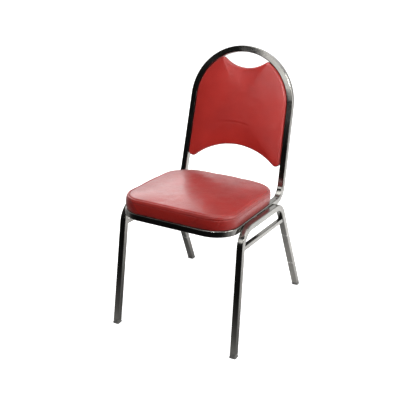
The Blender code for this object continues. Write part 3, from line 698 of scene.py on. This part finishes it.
def pad_outline():
    """The back pad's outline: sides along the hoop, hand-hold above, arch below."""
    edge = HALF + 0.0016
    side_radius = DOME - edge
    dome, hold, arch = (0.0, DOME_MIDDLE), (0.0, HOLD_LOW + HAND_HOLD), (0.0, ARCH_LIFT - ARCH)
    apart = hold[1] - dome[1]
    first, second = side_radius - HORN, HAND_HOLD + HORN
    along = (first ** 2 - second ** 2 + apart ** 2) / (2 * apart)
    horn = (sqrt(first ** 2 - along ** 2), dome[1] + along)
    reach = RAIL_X * cos(TAPER) - edge - FOOT
    cosine, sine = cos(TAPER), sin(TAPER)
    nearest = (reach * cosine, reach * sine - arch[1])
    middle = arch[1] * cosine
    run = middle + sqrt(middle ** 2 - nearest[0] ** 2 - nearest[1] ** 2 + (ARCH + FOOT) ** 2)
    foot = (reach * cosine - run * sine, reach * sine + run * cosine)
    right = arc(arch, ARCH, pi / 2, angle_from(arch, foot), ARC_STEPS)
    right += arc(foot, FOOT, angle_from(foot, arch), TAPER, 10)[1:]
    right += arc(dome, side_radius, TAPER, angle_from(dome, horn), ARC_STEPS)
    right += arc(horn, HORN, angle_from(dome, horn), angle_from(horn, hold), 10)[1:]
    right += arc(hold, HAND_HOLD, angle_from(hold, horn), -pi / 2, ARC_STEPS)[1:]
    return right + [(-x, y) for x, y in reversed(right[1:-1])]


def outward(ring):
    """Outward normals of an anticlockwise outline."""
    normals = []
    for spot in range(len(ring)):
        run = ring[(spot + 1) % len(ring)] - ring[spot - 1]
        normals.append(Vector((run.y, -run.x)).normalized())
    return normals


def eased_rims(rim):
    """The rim, and ever rounder copies of it for the rings nearer a pad's middle."""
    rims, points, done = [list(rim)], list(rim), 0
    for passes in (12, 40, 140, 480, 1500):
        for _ in range(passes - done):
            sides = zip(points[-1:] + points[:-1], points, points[1:] + points[:1])
            points = [(before + here * 2 + after) / 4 for before, here, after in sides]
        done = passes
        rims.append(list(points))
    return rims


def eased_ring(rims, middle, scale):
    """One ring of a pad's face: the rim drawn in by scale, and rounder the further in it lies."""
    level = (1 - scale) ** 0.8 * 6.0
    lower = min(int(level), len(rims) - 2)
    share = min(level - lower, 1.0)
    return [middle + (first.lerp(second, share) - middle) * scale
            for first, second in zip(rims[lower], rims[lower + 1])]


def smooth_step(value, low, high):
    share = min(max((value - low) / (high - low), 0.0), 1.0)
    return share * share * (3 - 2 * share)


def groove(distance, width, depth):
    return -depth * exp(-(distance / width) ** 2)


def on_seat(x, y, z):
    """The seat's own x, y and z, measured from the front rail, as a place in the scene."""
    return FRONT_RAIL + SIDE * x + ALONG * y + SEAT_UP * z


def on_back(x, y, z):
    """The back's own x, y and z, measured from its lower corner, as a place in the scene."""
    return BACK_CORNER + SIDE * x + BACK_UP * y + BACK_FRONT * z


def profile_line(corners, spacing):
    """Points stepped along a line of (out, up) corners, each with its normal and distance run."""
    points = []
    run = 0.0
    for (out, up), (next_out, next_up) in zip(corners, corners[1:]):
        length = hypot(next_out - out, next_up - up)
        if length < 1e-9:
            continue
        normal = ((next_up - up) / length, -(next_out - out) / length)
        steps = max(1, round(length / spacing))
        for step in range(steps):
            share = step / steps
            points.append((out + (next_out - out) * share, up + (next_up - up) * share,
                           normal, run + length * share))
        run += length
    points.append((*corners[-1], normal, run))
    return points


def wavering(x, y, z, size, seed):
    """Slow uneven swelling of stuffed vinyl."""
    return noise.noise(Vector((x * size + seed, y * size - seed, z * size + 2 * seed)))


def pleat(x, z, line, width, depth):
    """A fold in the boxing along a slanted line, sharp on one side and swelling on the other."""
    (top_x, top_z), (low_x, low_z) = line
    share = (top_z - z) / (top_z - low_z)
    if not -0.15 < share < 1.15:
        return 0.0
    aside = (x - (top_x + (low_x - top_x) * share)) * copysign(1, top_x)
    fade = smooth_step(share, -0.1, 0.12) * (1 - smooth_step(share, 0.9, 1.12))
    fold = -depth * exp(-(aside / width) ** 2)
    swell = 0.65 * depth * exp(-((aside + 2.6 * width) / (2.2 * width)) ** 2)
    return (fold + swell) * fade


def make_seat_cushion():
    """Cushion in vinyl: boxed sides that swell, a rolled top edge between two seams, a crowned top."""
    outline = even_out(seat_outline(), 360)
    normals = outward(outline)
    middle = Vector((0.0, (SEAT_REAR - HALF) / 2))
    roll = 0.0105
    corners = [(-0.032, SEAT_BASE + 0.0012), (-0.0152, SEAT_BASE + 0.0012), (-0.0150, SEAT_BASE + 0.0002),
               (-0.0060, SEAT_BASE), (-0.0020, SEAT_BASE + 0.0001), (0.0002, SEAT_BASE + 0.0010),
               (0.0010, SEAT_BASE + 0.0030)]
    side_low, side_high = SEAT_BASE + 0.0030, SEAT_TOP - roll
    for step in range(1, 25):
        share = step / 24
        corners.append((0.0010 + 0.0019 * sin(pi * share) ** 0.8 + 0.0005 * share,
                        side_low + (side_high - side_low) * share))
    last = radians(82)
    for step in range(1, 25):
        angle = last * step / 24
        corners.append((0.0015 - roll + roll * cos(angle), SEAT_TOP - roll + roll * sin(angle)))
    line = profile_line(corners, 0.0014)
    lower_seam = next(run for out, up, _, run in line if up > SEAT_TOP - 0.0150 and out > 0)
    upper_seam = next(run for out, up, _, run in line if out < -0.0062 and up > SEAT_TOP - 0.004)
    pleats = [((-0.158, SEAT_TOP - 0.004), (-0.126, SEAT_BASE + 0.004)),
              ((0.112, SEAT_TOP - 0.010), (0.082, SEAT_BASE + 0.006)),
              ((0.176, SEAT_TOP - 0.012), (0.166, SEAT_BASE + 0.014))]
    rings = []
    for out, up, (normal_out, normal_up), run in line:
        ring = []
        for point, normal in zip(outline, normals):
            push = groove(run - lower_seam, 0.0010, 0.0009) + groove(run - upper_seam, 0.0019, 0.0027)
            push += 0.0006 * exp(-((run - lower_seam - 0.0035) / 0.0020) ** 2)
            push += 0.0010 * exp(-((run - upper_seam + 0.0050) / 0.0028) ** 2)
            shown = smooth_step(up, SEAT_BASE + 0.002, SEAT_BASE + 0.012)
            if point.y < 0.075:
                push += sum(pleat(point.x, up, fold, 0.0020, 0.0021) for fold in pleats) * shown
            push += shown * (0.0009 * wavering(point.x, point.y, up, 22.0, 3.0)
                             + 0.0004 * wavering(point.x, point.y, up, 70.0, 5.0))
            flat = point + normal * (out + push * normal_out)
            height = up + push * normal_up
            ring.append(on_seat(flat.x, flat.y, height - edge_drop(point.x, point.y, height)))
        rings.append(ring)
    rim_out, rim_up = corners[-1]
    rim = [point + normal * rim_out for point, normal in zip(outline, normals)]
    top_rings = 44
    for step in range(1, top_rings):
        scale = 1 - (step / top_rings) ** 1.15
        ring = []
        for point in rim:
            flat = middle + (point - middle) * scale
            height = rim_up + SEAT_CROWN * (1 - scale ** 2.6)
            height += top_waver(flat.x, flat.y) * smooth_step(1 - scale, 0.0, 0.12)
            ring.append(on_seat(flat.x, flat.y, height - edge_drop(flat.x, flat.y, height)))
        rings.append(ring)
    piece = loft("seat_cushion", rings)
    settle(piece, VINYL, 60.0)
    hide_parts("seat_cover", "seat_foam", "seat_board")
    stitch_round("seat_seam_stitching", outline, line, lower_seam)


def edge_drop(x, y, height):
    """Drop of the cushion's top edge at its rear corners and left side, less its rise at the rear."""
    high = smooth_step(height, SEAT_BASE + 0.012, SEAT_TOP)
    rear = smooth_step(y, 0.20, SEAT_REAR)
    corner = smooth_step(abs(x), 0.09, 0.19) * rear
    left = smooth_step(-x, 0.10, 0.20)
    rise = 0.0030 * exp(-((y - SEAT_REAR + 0.03) / 0.045) ** 2) * exp(-(x / 0.11) ** 2)
    return high * (0.0035 * corner + 0.0030 * left - rise)


def top_waver(x, y):
    """Two worn hollows in the seat's top, with slow swelling."""
    sat = -0.0016 * exp(-((x + 0.055) / 0.075) ** 2 - ((y - 0.21) / 0.085) ** 2)
    sat += -0.0016 * exp(-((x - 0.055) / 0.075) ** 2 - ((y - 0.21) / 0.085) ** 2)
    return sat + 0.0010 * wavering(x, y, 0.0, 11.0, 1.0) + 0.0004 * wavering(x, y, 0.0, 34.0, 2.0)


def stitch_round(name, outline, line, seam):
    """Sewn thread along a seam: short raised stitches, end to end."""
    out, up, _, _ = min(line, key=lambda item: abs(item[3] - seam))
    stitches = []
    spaced = even_out([tuple(p) for p in outline], STITCHES)
    aside = outward(spaced)
    for spot, (point, normal) in enumerate(zip(spaced, aside)):
        after = spaced[(spot + 1) % len(spaced)]
        run = (after - point).normalized()
        wave = 0.0009 * wavering(point.x, point.y, up, 22.0, 3.0)
        flat = point + normal * (out + wave - 0.0001)
        middle = on_seat(flat.x, flat.y, up - edge_drop(point.x, point.y, up))
        stitches.append((middle, SIDE * run.x + ALONG * run.y, SIDE * normal.x + ALONG * normal.y))
    vertices, faces = [], []
    for middle, run, normal in stitches:
        across = run.cross(normal)
        base = len(vertices)
        for share, girth in ((-1.0, 0.25), (-0.72, 0.85), (0.0, 1.0), (0.72, 0.85), (1.0, 0.25)):
            for side in range(6):
                angle = side * pi / 3
                spoke = normal * cos(angle) + across * sin(angle)
                vertices.append(middle + run * (share * STITCH_HALF_LENGTH) + spoke * (STITCH_RADIUS * girth))
        for row in range(4):
            for side in range(6):
                after = (side + 1) % 6
                faces.append((base + row * 6 + side, base + row * 6 + after, base + (row + 1) * 6 + after,
                              base + (row + 1) * 6 + side))
        faces.append(tuple(base + side for side in range(5, -1, -1)))
        faces.append(tuple(base + 24 + side for side in range(6)))
    piece = new_object(name, vertices, faces)
    turn_outward(piece)
    settle(piece, THREAD, 60.0)


def turn_outward(piece):
    only(piece)
    edit_all()
    bpy.ops.mesh.normals_make_consistent(inside=False)
    bpy.ops.object.mode_set(mode="OBJECT")


def skewed(x, y):
    """The pad sits a little askew on its tabs: its arch rises to the right."""
    return y + 0.040 * x * (1 - smooth_step(y, ARCH_LIFT - 0.01, HOLD_LOW))


def make_back_cushion():
    """Padded vinyl pad inside the hoop, with rolled edges and a faint crease across its lower third."""
    outline = even_out([Vector(p) for p in pad_outline()], 480)
    normals = outward(outline)
    middle = Vector((0.0, (ARCH_LIFT + HOLD_LOW) / 2))
    roll = 0.0078
    corners = [(-0.020, BACK_BASE), (-0.0030, BACK_BASE), (-0.0008, BACK_BASE + 0.0006),
               (0.0, BACK_BASE + 0.0024)]
    for step in range(1, TURN_STEPS + 1):
        share = step / TURN_STEPS
        corners.append((0.0006 * sin(pi * share),
                        BACK_BASE + 0.0024 + (BACK_TOP - roll - BACK_BASE - 0.0024) * share))
    last = radians(74)
    for step in range(1, 19):
        angle = last * step / 18
        corners.append((-roll + roll * cos(angle), BACK_TOP - roll + roll * sin(angle)))
    line = profile_line(corners, 0.0012)
    rings = []
    for out, up, (normal_out, normal_up), _ in line:
        ring = []
        shown = smooth_step(up, BACK_BASE, BACK_BASE + 0.010)
        for point, normal in zip(outline, normals):
            push = shown * 0.0004 * wavering(point.x, point.y, up, 40.0, 7.0)
            gathered = smooth_step(abs(point.x), 0.05, 0.10)
            gathered *= smooth_step(point.y, HOLD_LOW - 0.03, HOLD_LOW + 0.03)
            push += shown * gathered * 0.0003 * sin(420 * point.x + 260 * point.y)
            flat = point + normal * (out + push * normal_out)
            ring.append(on_back(flat.x, skewed(flat.x, flat.y), up + push * normal_up))
        rings.append(ring)
    rim_out, rim_up = corners[-1]
    rim = [point + normal * rim_out for point, normal in zip(outline, normals)]
    face_rings = 46
    rims = eased_rims(rim)
    for step in range(1, face_rings):
        scale = 1 - (step / face_rings) ** 1.25
        ring = []
        for flat in eased_ring(rims, middle, scale):
            height = rim_up + BACK_CROWN * (1 - scale ** 3.0)
            fade = smooth_step(1 - scale, 0.0, 0.15)
            height += fade * (0.0009 * wavering(flat.x, flat.y, 0.0, 12.0, 4.0)
                              + 0.0003 * wavering(flat.x, flat.y, 0.0, 40.0, 6.0))
            crease_y = ARCH_LIFT + 0.082 - 1.9 * (flat.x + 0.012) ** 2
            along = exp(-((flat.x + 0.005) / 0.062) ** 4)
            height += fade * along * (groove(flat.y - crease_y, 0.0022, 0.00075)
                                      + 0.0005 * exp(-((flat.y - crease_y - 0.006) / 0.004) ** 2))
            ring.append(on_back(flat.x, skewed(flat.x, flat.y), height))
        rings.append(ring)
    piece = loft("back_cushion", rings)
    settle(piece, VINYL, 60.0)
    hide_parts("back_cover", "back_foam", "back_board")


def make_back_panel():
    """Vinyl-covered panel that closes the pad from behind, with a piped edge."""
    outline = even_out([Vector(p) for p in pad_outline()], 420)
    normals = outward(outline)
    middle = Vector((0.0, (ARCH_LIFT + HOLD_LOW) / 2))
    corners = [(-0.020, PANEL_FACE), (-0.0035, PANEL_FACE), (-0.0022, PANEL_FACE - 0.0006)]
    for step in range(1, TURN_STEPS + 1):
        angle = radians(80) * step / TURN_STEPS
        corners.append((-0.0050 + 0.0030 * cos(angle), PANEL_FACE - 0.0010 - 0.0030 * sin(angle)))
    rings = []
    for out, up in corners:
        rings.append([on_back(p.x + n.x * out, skewed(p.x + n.x * out, p.y + n.y * out), up)
                      for p, n in zip(outline, normals)])
    rim_out, rim_up = corners[-1]
    rims = eased_rims([point + normal * rim_out for point, normal in zip(outline, normals)])
    face_rings = 34
    for step in range(1, face_rings):
        scale = 1 - (step / face_rings) ** 1.2
        ring = []
        for flat in eased_ring(rims, middle, scale):
            depth = rim_up - 0.0034 * (1 - scale ** 3.4)
            depth -= smooth_step(1 - scale, 0.0, 0.15) * 0.0006 * wavering(flat.x, flat.y, 0.0, 13.0, 9.0)
            ring.append(on_back(flat.x, skewed(flat.x, flat.y), depth))
        rings.append(ring)
    piece = loft("back_panel_skin", rings)
    turn_outward(piece)
    settle(piece, VINYL, 60.0)
    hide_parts("back_panel")
    rings = []
    for point, normal in zip(outline, normals):
        ring = []
        for side in range(10):
            angle = side * pi / 5
            flat = point + normal * (-0.0026 + PIPING_RADIUS * cos(angle))
            ring.append(on_back(flat.x, skewed(flat.x, flat.y), -0.0083 + PIPING_RADIUS * sin(angle)))
        rings.append(ring)
    rings.append(rings[0])
    piping = loft("back_panel_piping", rings, False)
    only(piping)
    edit_all()
    bpy.ops.mesh.remove_doubles(threshold=MERGE)
    bpy.ops.object.mode_set(mode="OBJECT")
    turn_outward(piping)
    settle(piping, THREAD, 60.0)


def make_lining():
    """Lining cloth stapled under the seat, drawn flat with a slight ripple."""
    outline = even_out(seat_outline(), 240)
    normals = outward(outline)
    middle = Vector((0.0, (SEAT_REAR - HALF) / 2))
    rim = [point + normal * -LINING_INSET for point, normal in zip(outline, normals)]
    rings = []
    for top in (False, True):
        layer = []
        lift = 0.0007 if top else 0.0002
        for step in range(LINING_RINGS):
            scale = 1 - 0.995 * step / (LINING_RINGS - 1)
            ring = []
            for point in rim:
                flat = middle + (point - middle) * scale
                ripple = 0.00022 * wavering(flat.x, flat.y, 0.0, 30.0, 8.0)
                ripple *= smooth_step(1 - scale, 0.0, 0.1)
                ring.append(on_seat(flat.x, flat.y, SEAT_BASE + lift + ripple))
            layer.append(ring)
        rings += layer if top else layer[::-1]
    piece = loft("seat_lining_cloth", rings)
    turn_outward(piece)
    settle(piece, CLOTH, 60.0)
    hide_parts("seat_dust_cover")
    make_staples(rim, middle)


def make_staples(rim, middle):
    """Staples round the lining's edge. Only each staple's crown is made, as its legs are in the board."""
    spaced = even_out([tuple(p) for p in rim], STAPLES)
    for spot, point in enumerate(spaced):
        run = (spaced[(spot + 1) % len(spaced)] - spaced[spot - 1]).normalized()
        inward = (middle - point).normalized() * STAPLE_INSET
        centre = on_seat(point.x + inward.x, point.y + inward.y, SEAT_BASE - 0.00015)
        along = (SIDE * run.x + ALONG * run.y).normalized()
        bpy.ops.object.select_all(action="DESELECT")
        bpy.ops.mesh.primitive_cube_add(size=1.0, location=centre, scale=STAPLE_SIZE,
                                        rotation=turned(SEAT_UP, along).to_euler())
        piece = named(f"lining_staple_{spot:02d}")
        apply_placing()
        edit_all()
        bpy.ops.mesh.bevel(offset=0.00022, segments=2, affect="EDGES")
        bpy.ops.object.mode_set(mode="OBJECT")
        settle(piece, ZINC, 50.0)


def finish_small_parts():
    """Plated finish for the tabs, sleeves, screws and washers, and nylon for the clips."""
    looks = (("tab", NICKEL), ("sleeve", ZINC), ("screw", ZINC), ("washer", ZINC), ("clip", NYLON))
    for name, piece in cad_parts.items():
        for word, material in looks:
            if word in name:
                piece.data.materials.clear()
                piece.data.materials.append(material)
                if word in ("tab", "screw", "washer"):
                    edge = piece.modifiers.new("broken_edge", "BEVEL")
                    edge.width = BROKEN_EDGE
                    edge.segments = 2
                    edge.limit_method = "ANGLE"


# ---------------------------------------------------------------- the room
FLOOR_GLOW = 0.75                   # lifts the floor to plain white, for the camera alone
FLOOR_WHITE = (0.94, 0.94, 0.94)
KEY_FROM = (0.45, -0.25, 0.86)      # where the brightest part of the surroundings lies
LENS = 73.62
CAMERA_AT = (1.2126, -2.3731, 1.6112)
CAMERA_TURN, CAMERA_LIFT = radians(27.92), radians(24.08)


def ranged(tree, value, low, high):
    made = node(tree, "ShaderNodeMapRange")
    made.inputs["From Min"].default_value = low
    made.inputs["From Max"].default_value = high
    tree.links.new(value, made.inputs["Value"])
    return made.outputs["Result"]


def make_room():
    """Plain white floor and world, both dimmer and graded for light that mirrors or bounces."""
    bpy.ops.object.select_all(action="DESELECT")
    bpy.ops.mesh.primitive_plane_add(size=60.0, location=(0.0, 0.0, 0.0))
    floor = named("floor")
    made, tree, shader = finish("white_floor", FLOOR_WHITE, 0.9,
                                slot_values=(("Specular IOR Level", 0.1),))
    split = node(tree, "ShaderNodeSeparateXYZ")
    tree.links.new(place(tree), split.inputs[0])
    rays = node(tree, "ShaderNodeLightPath")
    front = ramp(tree, ranged(tree, split.outputs["Y"], -1.0, 1.0),
                 ((0.0, grey(0.006)), (0.13, grey(0.05)), (0.26, grey(0.16)), (0.33, grey(0.36)),
                  (0.42, grey(0.26)), (0.60, grey(0.22)), (0.80, grey(0.94))))
    right = fade(tree, ranged(tree, split.outputs["X"], -0.28, 0.14), 0.0, 1.0, 0, 0.50)
    behind = fade(tree, ranged(tree, split.outputs["Y"], -0.16, 0.12), 0.0, 1.0)
    dim = mixed(tree, 1.0, front, mixed(tree, 1.0, right, behind, "MULTIPLY"), "ADD")
    tone = mixed(tree, rays.outputs["Is Camera Ray"], dim, FLOOR_WHITE)
    tree.links.new(tone, shader.inputs["Base Color"])
    shader.inputs["Emission Color"].default_value = (1.0, 1.0, 1.0, 1.0)
    glow = node(tree, "ShaderNodeMath", operation="MULTIPLY")
    tree.links.new(rays.outputs["Is Camera Ray"], glow.inputs[0])
    glow.inputs[1].default_value = FLOOR_GLOW
    tree.links.new(glow.outputs[0], shader.inputs["Emission Strength"])
    floor.data.materials.append(made)

    world = bpy.data.worlds.new("studio")
    bpy.context.scene.world = world
    world.use_nodes = True
    tree = world.node_tree
    background = tree.nodes["Background"]
    split = node(tree, "ShaderNodeSeparateXYZ")
    sky = node(tree, "ShaderNodeTexCoord").outputs["Generated"]
    tree.links.new(sky, split.inputs[0])
    rays = node(tree, "ShaderNodeLightPath")
    studio = ramp(tree, ranged(tree, split.outputs["Y"], -1.0, 1.0),
                  ((0.0, grey(0.005)), (0.20, grey(0.02)), (0.48, grey(0.40)), (1.0, grey(0.85))))
    key = node(tree, "ShaderNodeVectorMath", operation="DOT_PRODUCT")
    tree.links.new(sky, key.inputs[0])
    key.inputs[1].default_value = KEY_FROM
    soft = ramp(tree, ranged(tree, key.outputs["Value"], -0.3, 1.0),
                ((0.0, grey(0.05)), (0.45, grey(0.18)), (1.0, grey(0.80))))
    shown = mixed(tree, rays.outputs["Is Glossy Ray"], soft, studio)
    shown = mixed(tree, rays.outputs["Is Camera Ray"], shown, grey(1.0))
    tree.links.new(shown, background.inputs["Color"])
    background.inputs["Strength"].default_value = 1.0


def add_light(name, where, towards, size, power, spread=180.0):
    light = bpy.data.lights.new(name, "AREA")
    light.shape = "RECTANGLE"
    light.size, light.size_y = size
    light.energy = power
    light.spread = radians(spread)
    lamp = bpy.data.objects.new(name, light)
    bpy.context.scene.collection.objects.link(lamp)
    lamp.location = where
    lamp.rotation_euler = (Vector(towards) - Vector(where)).to_track_quat("-Z", "Y").to_euler()
    lamp.visible_camera = False


def make_lights():
    add_light("overhead_softbox", (0.1, -0.4, 3.0), (0.0, 0.0, 0.4), (2.0, 2.0), 34.0)
    add_light("right_softbox", (2.3, 0.2, 1.5), (0.0, 0.0, 0.5), (1.0, 1.6), 26.0)
    add_light("right_front_strip", (2.10, -0.90, 0.95), (0.1, 0.1, 0.65), (0.35, 1.1), 6.0)
    add_light("rear_left_softbox", (-1.75, 2.25, 1.60), (0.0, 0.0, 0.45), (1.3, 1.1), 16.0)
    add_light("hoop_softbox", (-0.66, -2.07, 1.69), (0.1, 0.2, 0.85), (0.48, 0.72), 2.5)
    add_light("pad_fill", (0.75, -1.7, 2.1), (0.0, 0.2, 0.82), (0.5, 0.5), 2.0, 36.0)


def make_camera():
    lens = bpy.data.cameras.new("camera")
    lens.lens = LENS
    lens.sensor_width = 36.0
    camera = bpy.data.objects.new("camera", lens)
    bpy.context.scene.collection.objects.link(camera)
    level = cos(CAMERA_LIFT)
    back = Vector((sin(CAMERA_TURN) * level, -cos(CAMERA_TURN) * level, sin(CAMERA_LIFT)))
    right = Vector((cos(CAMERA_TURN), sin(CAMERA_TURN), 0.0))
    camera.matrix_world = Matrix((right, back.cross(right), back)).transposed().to_4x4()
    camera.location = CAMERA_AT
    bpy.context.scene.camera = camera
    bpy.context.scene.view_settings.view_transform = "Standard"


make_frames()
make_legs()
make_seat_cushion()
make_back_cushion()
make_back_panel()
make_lining()
finish_small_parts()
make_room()
make_lights()
make_camera()
